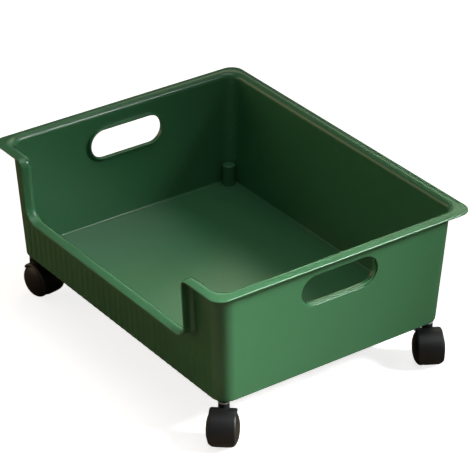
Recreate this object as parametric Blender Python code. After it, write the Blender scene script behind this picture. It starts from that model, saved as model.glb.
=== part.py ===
"""Open book bin on four swivel casters.

One moulded tub with a flared lip that runs along the rim and down into a low
front cut-out, a hand hole in each end, and a twin-wheel caster under each
corner. Metres, +Z up. X runs along the cut-out side, which faces -Y. The
origin is on the floor, under the middle of the bin.
"""
import math

import bmesh
import bpy
from mathutils import Matrix, Vector

MM = 0.001

# Bin, outside sizes
RIM_LENGTH = 400 * MM
RIM_WIDTH = 307 * MM
BODY_HEIGHT = 129 * MM
WALL_DRAFT = math.radians(3.1)
WALL_CORNER_RADIUS = 17 * MM
RIM_CORNER_RADIUS = 14 * MM
BOTTOM_FILLET = 3 * MM
INNER_FILLET = 2.2 * MM

# Bin, material thickness
WALL_THICKNESS = 2.4 * MM
FLOOR_THICKNESS = 2.8 * MM

# Flared lip
LIP_WIDTH = 11.6 * MM
LIP_RADIUS = 6.5 * MM
LIP_SLOPE = math.radians(12.0)
LIP_ROOT_RUN = 1.5 * MM

# Front cut-out
CUTOUT_LENGTH = 279.5 * MM
SILL_HEIGHT = 61.2 * MM
CUTOUT_TOP_RADIUS = 10 * MM
CUTOUT_BOTTOM_RADIUS = 13 * MM
LEAST_EDGE_RADIUS = 1.2 * MM

# Raised middle of the floor
PANEL_INSET = 32 * MM
PANEL_RISE = 2.5 * MM
PANEL_CORNER_RADIUS = 18 * MM

# Ribs on the front wall, under the cut-out
RIB_PITCH = 10 * MM
RIB_WIDTH = 6 * MM
RIB_HEIGHT = 0.6 * MM
RIB_HEAD_GAP = 2.5 * MM
RIB_RUN_OUT = 12 * MM
RIB_FOOT_TURN = math.radians(50)
RIB_FADE = 0.1
RIB_FIELD_CLEARANCE = 1 * MM

# Hand holes in the two ends
HOLE_LENGTH = 89 * MM
HOLE_HEIGHT = 31.6 * MM
HOLE_BELOW_RIM = 35.4 * MM
HOLE_EDGE_ROUND = 1.6 * MM
COLLAR_DEPTH = 6.5 * MM
COLLAR_THICKNESS = 2.2 * MM

# Caster positions and the way each one points at rest
STEM_INSET_X = 28.9 * MM
STEM_INSET_Y = 28.8 * MM
CASTER_HEADINGS = {
    "front_left": math.radians(8),
    "front_right": math.radians(-40),
    "rear_left": math.radians(-110),
    "rear_right": math.radians(-30),
}

# Caster sizes
CASTER_HEIGHT = 44 * MM
CASTER_TRAIL = 12 * MM
WHEEL_RADIUS = 18 * MM
WHEEL_SPAN = 33 * MM
BODY_GAP_WIDTH = 13.4 * MM
TREAD_WIDTH = 1.6 * MM
WHEEL_SKIN = 2.2 * MM
WHEEL_FULLNESS = 2.1
WHEEL_HOLLOW_SHARES = (0.85, 0.45)
AXLE_DIAMETER = 3 * MM
AXLE_HUB_RADIUS = 4.4 * MM
HOOD_CLEARANCE = 0.7 * MM
HOOD_THICKNESS = 1.2 * MM
HOOD_WIDTH = 27 * MM
HOOD_SKIRT = 2.1 * MM
HOOD_REAR_ANGLE = math.radians(-32)
HOOD_FRONT_ANGLE = math.radians(150)
WEB_THICKNESS = 5 * MM
WEB_END_INSET = math.radians(4)
NECK_DIAMETER = 11.2 * MM
NECK_EDGE = 0.6 * MM

# Stem, its collar, grip ring and socket
STEM_DIAMETER = 7.8 * MM
STEM_IN_NECK = 17 * MM
STEM_IN_SOCKET = 24 * MM
STEM_TIP_CHAMFER = 1 * MM
COLLAR_RING_DIAMETER = 11 * MM
COLLAR_RING_HEIGHT = 2 * MM
GRIP_RING_HEIGHT = 2 * MM
GRIP_RING_WIRE = 1 * MM
GRIP_RING_DEPTH = 6 * MM
GRIP_RING_SLIT = math.radians(50)
SLEEVE_WALL = 0.9 * MM
SLEEVE_FLANGE_DIAMETER = 13 * MM
SLEEVE_FLANGE_THICKNESS = 1 * MM
POST_WALL = 1.6 * MM
POST_ROOF = 2.4 * MM
GUSSET_THICKNESS = 2.2 * MM

# Fits
FIT = 0.3 * MM
OVERLAP = 0.6 * MM

# Facets
CORNER_STEPS = 7
CUTOUT_TOP_STEPS = 5
CUTOUT_BOTTOM_STEPS = 6
LIP_OUTER_STEPS = 3
LIP_INNER_STEPS = 4
TIP_STEPS = 4
FILLET_STEPS = 3
RIB_STEPS = 4
HOLE_STEPS = 8
WHEEL_SIDES = 20
DOME_STEPS = 4
ROUND_SIDES = 16
PIN_SIDES = 12
GRIP_RING_STEPS = 12
HOOD_STEPS = 12
HOOD_BEND_STEPS = 2

# Values that follow from the sizes above
SLOPE = math.tan(WALL_DRAFT)
LIP_CENTRE_OUT = LIP_RADIUS - WALL_THICKNESS
LIP_UNDER_RADIUS = LIP_RADIUS - WALL_THICKNESS
TIP_RADIUS = WALL_THICKNESS / 2
LIP_MID_RADIUS = LIP_RADIUS - TIP_RADIUS
LIP_MID_OUT = LIP_CENTRE_OUT + LIP_MID_RADIUS * math.sin(LIP_SLOPE)
LIP_MID_DOWN = LIP_RADIUS - LIP_MID_RADIUS * math.cos(LIP_SLOPE)
TIP_OUT = LIP_WIDTH - TIP_RADIUS
TIP_DOWN = LIP_MID_DOWN + (TIP_OUT - LIP_MID_OUT) * math.tan(LIP_SLOPE)
ROOT_DOWN = LIP_RADIUS + LIP_ROOT_RUN
TOP_HALF_X = RIM_LENGTH / 2 - LIP_WIDTH + TIP_DOWN * SLOPE
TOP_HALF_Y = RIM_WIDTH / 2 - LIP_WIDTH + TIP_DOWN * SLOPE
BOTTOM_HALF_X = TOP_HALF_X - BODY_HEIGHT * SLOPE
BOTTOM_HALF_Y = TOP_HALF_Y - BODY_HEIGHT * SLOPE
STEM_X = RIM_LENGTH / 2 - STEM_INSET_X
STEM_Y = RIM_WIDTH / 2 - STEM_INSET_Y
SLEEVE_BORE_RADIUS = STEM_DIAMETER / 2 + FIT
SLEEVE_RADIUS = SLEEVE_BORE_RADIUS + SLEEVE_WALL
SOCKET_RADIUS = SLEEVE_RADIUS + FIT
SOCKET_DEPTH = STEM_IN_SOCKET + FIT
POST_RADIUS = SOCKET_RADIUS + POST_WALL
POST_TOP = SOCKET_DEPTH + POST_ROOF
HOOD_INNER_RADIUS = WHEEL_RADIUS + HOOD_CLEARANCE
HOOD_OUTER_RADIUS = HOOD_INNER_RADIUS + HOOD_THICKNESS
NECK_TOP = CASTER_HEIGHT - SLEEVE_FLANGE_THICKNESS - COLLAR_RING_HEIGHT - 3 * FIT
STEM_BOTTOM = NECK_TOP - STEM_IN_NECK
WHEEL_INNER_FACE = BODY_GAP_WIDTH / 2 + FIT
AXLE_BORE_RADIUS = AXLE_DIAMETER / 2 + FIT
AXLE_HALF_LENGTH = WHEEL_SPAN / 2 - WHEEL_SKIN - FIT


def clear_scene():
    for item in list(bpy.data.objects):
        bpy.data.objects.remove(item, do_unlink=True)


def make_material(name, colour, roughness, metallic=0.0):
    material = bpy.data.materials.new(name)
    material.use_nodes = True
    shader = material.node_tree.nodes["Principled BSDF"]
    shader.inputs["Base Color"].default_value = (*colour, 1.0)
    shader.inputs["Roughness"].default_value = roughness
    shader.inputs["Metallic"].default_value = metallic
    material.diffuse_color = (*colour, 1.0)
    return material


def new_object(name, mesh, material=None, parent=None):
    item = bpy.data.objects.new(name, mesh)
    bpy.context.scene.collection.objects.link(item)
    if material and not mesh.materials:
        mesh.materials.append(material)
    if parent:
        item.parent = parent
    return item


def finish_mesh(bm, name):
    bmesh.ops.recalc_face_normals(bm, faces=bm.faces)
    mesh = bpy.data.meshes.new(name)
    bm.to_mesh(mesh)
    bm.free()
    return mesh


def smooth(mesh, angle=35):
    mesh.shade_smooth()
    mesh.set_sharp_from_angle(angle=math.radians(angle))


def hide_cutter(item):
    item.hide_render = True
    item.display_type = "WIRE"


def boolean(item, tools, operation):
    """Joins the tools to the item, or cuts them out of it, in one step."""
    group = bpy.data.collections.new(item.name + "_" + operation.lower())
    for tool in tools:
        group.objects.link(tool)
        hide_cutter(tool)
    step = item.modifiers.new(group.name, "BOOLEAN")
    step.operation = operation
    step.solver = "EXACT"
    step.operand_type = "COLLECTION"
    step.collection = group


def clear_tools(item):
    """Removes the item's Boolean steps with their tools."""
    for step in list(item.modifiers):
        group = step.collection
        for tool in list(group.objects):
            bpy.data.objects.remove(tool, do_unlink=True)
        bpy.data.collections.remove(group)
    item.modifiers.clear()


def evaluated_mesh(item, name):
    """A mesh of the item with its modifiers carried out."""
    bpy.context.view_layer.update()
    graph = bpy.context.evaluated_depsgraph_get()
    mesh = bpy.data.meshes.new_from_object(item.evaluated_get(graph), depsgraph=graph)
    mesh.name = name
    return mesh


def arc(centre, radius, start, end, steps):
    """Points on an arc in a plane, angles in radians."""
    points = []
    for step in range(steps + 1):
        angle = start + (end - start) * step / steps
        points.append((centre[0] + radius * math.cos(angle), centre[1] + radius * math.sin(angle)))
    return points


def rounded_rectangle(half_x, half_y, radius, steps=CORNER_STEPS):
    """Plan outline, counter-clockwise, from the front right corner to the front left one."""
    points = []
    for sign_x, sign_y, start in ((1, -1, -90), (1, 1, 0), (-1, 1, 90), (-1, -1, 180)):
        centre = (sign_x * (half_x - radius), sign_y * (half_y - radius))
        angle = math.radians(start)
        points += arc(centre, radius, angle, angle + math.pi / 2, steps)
    return points


def stadium(length, height, steps=HOLE_STEPS):
    """Oval outline with straight top and bottom, centred on the origin."""
    radius = height / 2
    middle = length / 2 - radius
    right = arc((middle, 0), radius, -math.pi / 2, math.pi / 2, steps)
    left = arc((-middle, 0), radius, math.pi / 2, 3 * math.pi / 2, steps)
    return right + left


def join_rings(bm, lower, upper):
    count = len(lower)
    for index in range(count):
        following = (index + 1) % count
        bm.faces.new((lower[index], lower[following], upper[following], upper[index]))


def loft(name, rings):
    """Closed solid through rings of 3-D points that have the same count."""
    bm = bmesh.new()
    rows = [[bm.verts.new(point) for point in ring] for ring in rings]
    for lower, upper in zip(rows, rows[1:]):
        join_rings(bm, lower, upper)
    bm.faces.new(list(reversed(rows[0])))
    bm.faces.new(rows[-1])
    return finish_mesh(bm, name)


def turned(name, profile, sides):
    """Solid of revolution about Z from a closed list of (radius, height).

    Points on the axis become one vertex each. The sides lie flat on the
    nominal radius, so the turned piece measures its true size across flats.
    """
    bm = bmesh.new()
    grow = 1 / math.cos(math.pi / sides)
    columns = []
    for radius, height in profile:
        if radius == 0:
            columns.append([bm.verts.new((0, 0, height))])
            continue
        ring = []
        for side in range(sides):
            angle = 2 * math.pi * (side + 0.5) / sides
            out = radius * grow
            ring.append(bm.verts.new((out * math.cos(angle), out * math.sin(angle), height)))
        columns.append(ring)
    for index, ring in enumerate(columns):
        following = columns[(index + 1) % len(columns)]
        if len(ring) == 1 and len(following) == 1:
            continue
        for side in range(sides):
            after = (side + 1) % sides
            corners = [ring[side % len(ring)], ring[after % len(ring)],
                       following[after % len(following)], following[side % len(following)]]
            unique = list(dict.fromkeys(corners))
            bm.faces.new(unique)
    return finish_mesh(bm, name)


def wall_half_sizes(height):
    """Half length and half width of the outside wall at a height above the bin's bottom."""
    below_rim = BODY_HEIGHT - height
    return TOP_HALF_X - below_rim * SLOPE, TOP_HALF_Y - below_rim * SLOPE


def corner_radius(out):
    """Plan corner radius at a distance out from the wall: the lip's corner is squarer."""
    if out <= 0:
        return WALL_CORNER_RADIUS + out
    return WALL_CORNER_RADIUS + (RIM_CORNER_RADIUS - WALL_CORNER_RADIUS) * out / LIP_WIDTH


def lip_section():
    """Section of the lip as (out from the wall, down from the crest), wall outside to inside."""
    quarter_end = math.pi / 2 - LIP_SLOPE
    centre = (LIP_CENTRE_OUT, -LIP_RADIUS)
    under = arc(centre, LIP_UNDER_RADIUS, math.pi, quarter_end, LIP_OUTER_STEPS)
    tip = arc((TIP_OUT, -TIP_DOWN), TIP_RADIUS, quarter_end - math.pi, quarter_end, TIP_STEPS)
    crest = arc(centre, LIP_RADIUS, quarter_end, math.pi, LIP_INNER_STEPS)
    points = [(0, -ROOT_DOWN)] + under + tip + crest + [(-WALL_THICKNESS, -ROOT_DOWN)]
    return [(out, -height) for out, height in points]


def cutout_path(down):
    """Front edge line in (x, height), a distance down from the edge into the wall."""
    half = CUTOUT_LENGTH / 2
    top = BODY_HEIGHT - down
    tight = max(CUTOUT_TOP_RADIUS - down, LEAST_EDGE_RADIUS)
    wide = CUTOUT_BOTTOM_RADIUS + down
    low_centre = (half - CUTOUT_BOTTOM_RADIUS, SILL_HEIGHT + CUTOUT_BOTTOM_RADIUS)
    high_centre = (half + down + tight, top - tight)
    top_left = arc((-high_centre[0], high_centre[1]), tight, math.pi / 2, 0, CUTOUT_TOP_STEPS)
    low_left = arc((-low_centre[0], low_centre[1]), wide, math.pi, 1.5 * math.pi, CUTOUT_BOTTOM_STEPS)
    low_right = arc(low_centre, wide, 1.5 * math.pi, 2 * math.pi, CUTOUT_BOTTOM_STEPS)
    top_right = arc(high_centre, tight, math.pi, math.pi / 2, CUTOUT_TOP_STEPS)
    return top_left + low_left + low_right + top_right


def lip_ring(out, down):
    """One closed line of the lip: down into the cut-out and round the four corners."""
    points = []
    for x, height in cutout_path(down):
        points.append((x, -(wall_half_sizes(height)[1] + out), height))
    height = BODY_HEIGHT - down
    half_x, half_y = wall_half_sizes(height)
    plan = rounded_rectangle(half_x + out, half_y + out, corner_radius(out))
    return points + [(x, y, height) for x, y in plan]


def base_rings(floor, inset, fillet):
    """Plan rings from the wall's foot to the raised panel, for one face of the floor.

    floor is the height of that face and inset is how far it lies inside the outside wall.
    """
    foot = floor + fillet
    half_x, half_y = wall_half_sizes(foot)
    centre_in = inset + fillet / math.cos(WALL_DRAFT)
    rings = []
    for across, height in arc((0, foot), fillet, -WALL_DRAFT, -math.pi / 2, FILLET_STEPS):
        shift = centre_in - across
        radius = WALL_CORNER_RADIUS - shift
        rings.append([(x, y, height) for x, y in rounded_rectangle(half_x - shift, half_y - shift, radius)])
    for extra, height in ((0, floor), (PANEL_RISE, floor + PANEL_RISE)):
        shift = PANEL_INSET + extra
        radius = PANEL_CORNER_RADIUS
        panel = rounded_rectangle(BOTTOM_HALF_X - shift, BOTTOM_HALF_Y - shift, radius)
        rings.append([(x, y, height) for x, y in panel])
    return rings


def tub_mesh():
    """The plain tub: lip, drafted walls and floor, one closed skin."""
    bm = bmesh.new()
    lip = [[bm.verts.new(p) for p in lip_ring(out, down)] for out, down in lip_section()]
    for lower, upper in zip(lip, lip[1:]):
        join_rings(bm, lower, upper)
    front = len(cutout_path(0))
    outside = [[bm.verts.new(p) for p in ring] for ring in base_rings(0, 0, BOTTOM_FILLET)]
    inside = [[bm.verts.new(p) for p in ring]
              for ring in base_rings(FLOOR_THICKNESS, WALL_THICKNESS, INNER_FILLET)]
    for root, rings in ((lip[0], outside), (lip[-1], inside)):
        foot = rings[0]
        for index in range(len(foot) - 1):
            bm.faces.new((root[front + index], root[front + index + 1], foot[index + 1], foot[index]))
        bm.faces.new([root[-1]] + root[:front + 1] + [foot[0], foot[-1]])
        for lower, upper in zip(rings, rings[1:]):
            join_rings(bm, lower, upper)
        bm.faces.new(rings[-1])
    return finish_mesh(bm, "tub")


def rib_mesh():
    """All the front ribs: each rises out of the bottom fillet and fades out under the lip."""
    straight = 2 * (BOTTOM_HALF_X - WALL_CORNER_RADIUS)
    count = math.floor((straight - RIB_WIDTH - 2 * RIB_FIELD_CLEARANCE) / RIB_PITCH) + 1
    foot = BOTTOM_FILLET
    turn = RIB_FOOT_TURN
    foot_y = wall_half_sizes(foot)[1]
    stations = [(foot * (1 - math.sin(turn)), foot_y - foot * (1 - math.cos(turn)), RIB_FADE)]
    head = SILL_HEIGHT - ROOT_DOWN - RIB_HEAD_GAP
    for height, rise in ((foot, 1.0), (head - RIB_RUN_OUT, 1.0), (head, RIB_FADE)):
        stations.append((height, wall_half_sizes(height)[1], rise))
    bm = bmesh.new()
    for index in range(count):
        middle = (index - (count - 1) / 2) * RIB_PITCH
        rows = []
        for height, wall_y, rise in stations:
            outline = [(-RIB_WIDTH / 2, -OVERLAP), (RIB_WIDTH / 2, -OVERLAP)]
            for step in range(1, RIB_STEPS):
                across = math.cos(math.pi * step / RIB_STEPS)
                outline.append((across * RIB_WIDTH / 2, RIB_HEIGHT * rise * (1 - across ** 2)))
            rows.append([bm.verts.new((middle + across, -(wall_y + out), height))
                         for across, out in outline])
        for lower, upper in zip(rows, rows[1:]):
            join_rings(bm, lower, upper)
        bm.faces.new(list(reversed(rows[0])))
        bm.faces.new(rows[-1])
    return finish_mesh(bm, "ribs")


def hole_frame(side):
    """Frame on the outside of an end wall: local Z points out of the wall, local X along it."""
    height = BODY_HEIGHT - HOLE_BELOW_RIM
    place = Matrix.Translation((side * wall_half_sizes(height)[0], 0, height))
    out = Vector((side * math.cos(WALL_DRAFT), 0, -math.sin(WALL_DRAFT)))
    along = Vector((0, side, 0))
    up = out.cross(along)
    turn = Matrix((along, up, out)).transposed().to_4x4()
    return place @ turn


def hole_tools(side):
    """The collar round a hand hole, and the cutter that opens it with a rounded outer edge."""
    frame = hole_frame(side)
    grow = 2 * COLLAR_THICKNESS
    collar_outline = stadium(HOLE_LENGTH + grow, HOLE_HEIGHT + grow)
    collar_rings = []
    for depth in (-WALL_THICKNESS / 2, -COLLAR_DEPTH):
        collar_rings.append([frame @ Vector((x, y, depth)) for x, y in collar_outline])
    cutter_rings = []
    for step in range(4):
        angle = math.pi / 2 * step / 3
        flare = 2 * HOLE_EDGE_ROUND * (1 - math.sin(angle))
        depth = -HOLE_EDGE_ROUND * (1 - math.cos(angle))
        outline = stadium(HOLE_LENGTH + flare, HOLE_HEIGHT + flare)
        cutter_rings.append([frame @ Vector((x, y, depth)) for x, y in outline])
    outline = stadium(HOLE_LENGTH + 2 * HOLE_EDGE_ROUND, HOLE_HEIGHT + 2 * HOLE_EDGE_ROUND)
    cutter_rings.insert(0, [frame @ Vector((x, y, OVERLAP)) for x, y in outline])
    outline = stadium(HOLE_LENGTH, HOLE_HEIGHT)
    cutter_rings.append([frame @ Vector((x, y, -COLLAR_DEPTH - OVERLAP)) for x, y in outline])
    tag = "right" if side > 0 else "left"
    return loft("collar_" + tag, collar_rings), loft("hole_" + tag, cutter_rings)


def corner_places():
    places = {}
    for name in CASTER_HEADINGS:
        x = STEM_X if name.endswith("right") else -STEM_X
        y = STEM_Y if name.startswith("rear") else -STEM_Y
        places[name] = (x, y)
    return places


def post_meshes(place):
    """A caster post inside a corner, its two gussets and the bore for the sleeve."""
    x, y = place
    top_round = POST_ROOF / 2
    post_profile = [(0, FLOOR_THICKNESS / 2), (POST_RADIUS, FLOOR_THICKNESS / 2),
                    (POST_RADIUS, POST_TOP - top_round), (POST_RADIUS - top_round, POST_TOP), (0, POST_TOP)]
    post = turned("post", post_profile, ROUND_SIDES)
    post.transform(Matrix.Translation((x, y, 0)))
    bore_profile = [(0, -OVERLAP), (SOCKET_RADIUS, -OVERLAP), (SOCKET_RADIUS, SOCKET_DEPTH),
                    (0, SOCKET_DEPTH)]
    bore = turned("bore", bore_profile, ROUND_SIDES)
    bore.transform(Matrix.Translation((x, y, 0)))
    side_x = math.copysign(1, x)
    side_y = math.copysign(1, y)
    foot = FLOOR_THICKNESS / 2
    half_x, half_y = wall_half_sizes(foot)
    top = SOCKET_DEPTH - POST_ROOF
    half = GUSSET_THICKNESS / 2
    start = SOCKET_RADIUS + POST_WALL / 2
    centre_x = half_x - WALL_CORNER_RADIUS
    centre_y = half_y - WALL_CORNER_RADIUS
    out_x = math.sqrt(WALL_CORNER_RADIUS ** 2 - max(0, abs(y) + half - centre_y) ** 2)
    out_y = math.sqrt(WALL_CORNER_RADIUS ** 2 - max(0, abs(x) + half - centre_x) ** 2)
    wall_x = side_x * (centre_x + out_x - WALL_THICKNESS / 2)
    wall_y = side_y * (centre_y + out_y - WALL_THICKNESS / 2)
    lean = (top - foot) * SLOPE
    along_x = []
    along_y = []
    for height, shift in ((foot, 0), (top, lean)):
        near = x + side_x * start
        far = wall_x + side_x * shift
        along_x.append([(near, y - half, height), (far, y - half, height),
                        (far, y + half, height), (near, y + half, height)])
        near = y + side_y * start
        far = wall_y + side_y * shift
        along_y.append([(x - half, near, height), (x + half, near, height),
                        (x + half, far, height), (x - half, far, height)])
    return post, loft("gusset_x", along_x), loft("gusset_y", along_y), bore


def build_bin(material):
    """The moulded bin with everything that is in one piece with it."""
    base = Matrix.Translation((0, 0, CASTER_HEIGHT))
    bin_shell = new_object("bin_shell", tub_mesh(), material)
    added = [rib_mesh()]
    cut = []
    for side in (-1, 1):
        collar, hole = hole_tools(side)
        added.append(collar)
        cut.append(hole)
    for place in corner_places().values():
        post, gusset_x, gusset_y, bore = post_meshes(place)
        added += [post, gusset_x, gusset_y]
        cut.append(bore)
    boolean(bin_shell, [new_object("add_" + mesh.name, mesh) for mesh in added], "UNION")
    boolean(bin_shell, [new_object("cut_" + mesh.name, mesh) for mesh in cut], "DIFFERENCE")
    mesh = evaluated_mesh(bin_shell, "bin_shell")
    clear_tools(bin_shell)
    mesh.transform(base)
    bin_shell.data = mesh
    smooth(mesh, 40)
    return bin_shell


def sleeve_mesh():
    """Flanged sleeve in the post, heights above the bin's bottom."""
    flange_top = -FIT
    flange_bottom = flange_top - SLEEVE_FLANGE_THICKNESS
    flange = SLEEVE_FLANGE_DIAMETER / 2
    top = STEM_IN_SOCKET - SLEEVE_WALL
    profile = [(SLEEVE_BORE_RADIUS, flange_bottom), (flange, flange_bottom), (flange, flange_top),
               (SLEEVE_RADIUS, flange_top), (SLEEVE_RADIUS, top), (SLEEVE_BORE_RADIUS, top)]
    return turned("socket_sleeve", profile, ROUND_SIDES)


def stem_mesh():
    """Stem with a groove for the grip ring, heights above the floor."""
    radius = STEM_DIAMETER / 2
    groove = radius - GRIP_RING_WIRE + FIT
    top = CASTER_HEIGHT + STEM_IN_SOCKET
    groove_top = top - GRIP_RING_DEPTH + GRIP_RING_HEIGHT / 2 + FIT
    groove_bottom = top - GRIP_RING_DEPTH - GRIP_RING_HEIGHT / 2 - FIT
    profile = [(0, STEM_BOTTOM), (radius, STEM_BOTTOM), (radius, groove_bottom), (groove, groove_bottom),
               (groove, groove_top), (radius, groove_top), (radius, top - STEM_TIP_CHAMFER),
               (radius - STEM_TIP_CHAMFER, top), (0, top)]
    return turned("stem", profile, ROUND_SIDES)


def grip_ring_mesh():
    """Split spring ring in the stem's groove, heights above the bin's bottom."""
    outer = STEM_DIAMETER / 2
    inner = outer - GRIP_RING_WIRE + 2 * FIT
    middle = STEM_IN_SOCKET - GRIP_RING_DEPTH
    half = GRIP_RING_HEIGHT / 2
    rings = []
    for step in range(GRIP_RING_STEPS + 1):
        angle = GRIP_RING_SLIT / 2 + (2 * math.pi - GRIP_RING_SLIT) * step / GRIP_RING_STEPS
        ring = []
        for radius, height in ((inner, -half), (outer, -half), (outer, half), (inner, half)):
            ring.append((radius * math.cos(angle), radius * math.sin(angle), middle + height))
        rings.append(ring)
    return loft("grip_ring", rings)


def collar_ring_mesh():
    """Plain ring that lies on the neck, round the stem."""
    inner = STEM_DIAMETER / 2 + FIT
    outer = COLLAR_RING_DIAMETER / 2
    bottom = NECK_TOP + FIT
    top = bottom + COLLAR_RING_HEIGHT
    edge = COLLAR_RING_HEIGHT / 4
    profile = [(inner, bottom), (outer, bottom), (outer, top - edge), (outer - edge, top), (inner, top)]
    return turned("collar_ring", profile, ROUND_SIDES)


def hood_section():
    """Hood section as (along the axle, radius from it): a shallow channel with rounded skirts."""
    half = HOOD_WIDTH / 2
    bend = HOOD_SKIRT
    centre = (half - bend, HOOD_OUTER_RADIUS - bend)
    outer_turn = arc(centre, bend, math.pi / 2, 0, HOOD_BEND_STEPS)
    inner_turn = arc(centre, bend - HOOD_THICKNESS, 0, math.pi / 2, HOOD_BEND_STEPS)
    right = outer_turn + inner_turn
    left = [(-across, radius) for across, radius in reversed(right)]
    return right + left


def axle_frame(across, radius, angle):
    """Point at an angle round the axle, in the caster's own frame (X is the way it trails)."""
    return (CASTER_TRAIL + radius * math.cos(angle), across, WHEEL_RADIUS + radius * math.sin(angle))


def housing_mesh():
    """Caster housing: hood over the wheels, web, axle hub and neck, in one moulding."""
    section = hood_section()
    rings = []
    for step in range(HOOD_STEPS + 1):
        angle = HOOD_REAR_ANGLE + (HOOD_FRONT_ANGLE - HOOD_REAR_ANGLE) * step / HOOD_STEPS
        rings.append([axle_frame(across, radius, angle) for across, radius in section])
    hood = new_object("hood", loft("hood", rings))

    rim = HOOD_INNER_RADIUS + HOOD_THICKNESS / 2
    web_outline = [(CASTER_TRAIL, WHEEL_RADIUS)]
    web_start = HOOD_REAR_ANGLE + WEB_END_INSET
    web_end = HOOD_FRONT_ANGLE - WEB_END_INSET
    web_outline += arc((CASTER_TRAIL, WHEEL_RADIUS), rim, web_start, web_end, HOOD_STEPS)
    web_rings = []
    for side in (WEB_THICKNESS / 2, -WEB_THICKNESS / 2):
        web_rings.append([(x, side, z) for x, z in web_outline])
    web = new_object("web", loft("web", web_rings))

    hub_profile = [(0, -BODY_GAP_WIDTH / 2), (AXLE_HUB_RADIUS, -BODY_GAP_WIDTH / 2),
                   (AXLE_HUB_RADIUS, BODY_GAP_WIDTH / 2), (0, BODY_GAP_WIDTH / 2)]
    hub_mesh = turned("hub", hub_profile, ROUND_SIDES)
    lay_down = Matrix.Translation((CASTER_TRAIL, 0, WHEEL_RADIUS)) @ Matrix.Rotation(math.pi / 2, 4, "X")
    hub_mesh.transform(lay_down)
    hub = new_object("hub", hub_mesh)

    neck_radius = NECK_DIAMETER / 2
    neck_bottom = STEM_BOTTOM - FIT - HOOD_THICKNESS
    neck_profile = [(0, neck_bottom), (neck_radius, neck_bottom), (neck_radius, NECK_TOP - NECK_EDGE),
                    (neck_radius - NECK_EDGE, NECK_TOP), (0, NECK_TOP)]
    neck = new_object("neck", turned("neck", neck_profile, ROUND_SIDES))

    bore_profile = [(0, STEM_BOTTOM - FIT), (STEM_DIAMETER / 2 + FIT, STEM_BOTTOM - FIT),
                    (STEM_DIAMETER / 2 + FIT, NECK_TOP + OVERLAP), (0, NECK_TOP + OVERLAP)]
    bore = new_object("bore", turned("bore", bore_profile, ROUND_SIDES))
    axle_bore_profile = [(0, -BODY_GAP_WIDTH), (AXLE_BORE_RADIUS, -BODY_GAP_WIDTH),
                         (AXLE_BORE_RADIUS, BODY_GAP_WIDTH), (0, BODY_GAP_WIDTH)]
    axle_bore_mesh = turned("axle_bore", axle_bore_profile, ROUND_SIDES)
    axle_bore_mesh.transform(lay_down)
    axle_bore = new_object("axle_bore", axle_bore_mesh)

    boolean(hood, (web, hub, neck), "UNION")
    boolean(hood, (bore, axle_bore), "DIFFERENCE")
    mesh = evaluated_mesh(hood, "caster_housing")
    clear_tools(hood)
    bpy.data.objects.remove(hood, do_unlink=True)
    return mesh


def wheel_mesh():
    """One wheel, domed outside and hollow inside, turned about Z with +Z pointing outwards."""
    inner = WHEEL_INNER_FACE
    outer = WHEEL_SPAN / 2
    tread_end = inner + TREAD_WIDTH
    dome_height = outer - tread_end
    dome = []
    power = 2 / WHEEL_FULLNESS
    for step in range(1, DOME_STEPS):
        angle = math.pi / 2 * step / DOME_STEPS
        dome.append((WHEEL_RADIUS * math.cos(angle) ** power,
                     tread_end + dome_height * math.sin(angle) ** power))
    rim_inner = WHEEL_RADIUS - WHEEL_SKIN
    inside = []
    for share in WHEEL_HOLLOW_SHARES:
        radius = rim_inner * share
        share_up = (1 - (radius / WHEEL_RADIUS) ** WHEEL_FULLNESS) ** (1 / WHEEL_FULLNESS)
        inside.append((radius, tread_end + dome_height * share_up - WHEEL_SKIN))
    hub_end = inside[-1][1]
    bore_end = AXLE_HALF_LENGTH + FIT
    profile = [(0, bore_end), (AXLE_BORE_RADIUS, bore_end), (AXLE_BORE_RADIUS, inner),
               (AXLE_HUB_RADIUS, inner), (AXLE_HUB_RADIUS, hub_end)]
    profile += list(reversed(inside))
    profile += [(rim_inner, inner), (WHEEL_RADIUS, inner), (WHEEL_RADIUS, tread_end)]
    profile += dome + [(0, outer)]
    return turned("caster_wheel", profile, WHEEL_SIDES)


def axle_mesh():
    radius = AXLE_DIAMETER / 2
    edge = FIT
    profile = [(0, -AXLE_HALF_LENGTH), (radius - edge, -AXLE_HALF_LENGTH), (radius, -AXLE_HALF_LENGTH + edge),
               (radius, AXLE_HALF_LENGTH - edge), (radius - edge, AXLE_HALF_LENGTH), (0, AXLE_HALF_LENGTH)]
    return turned("axle", profile, PIN_SIDES)


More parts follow.
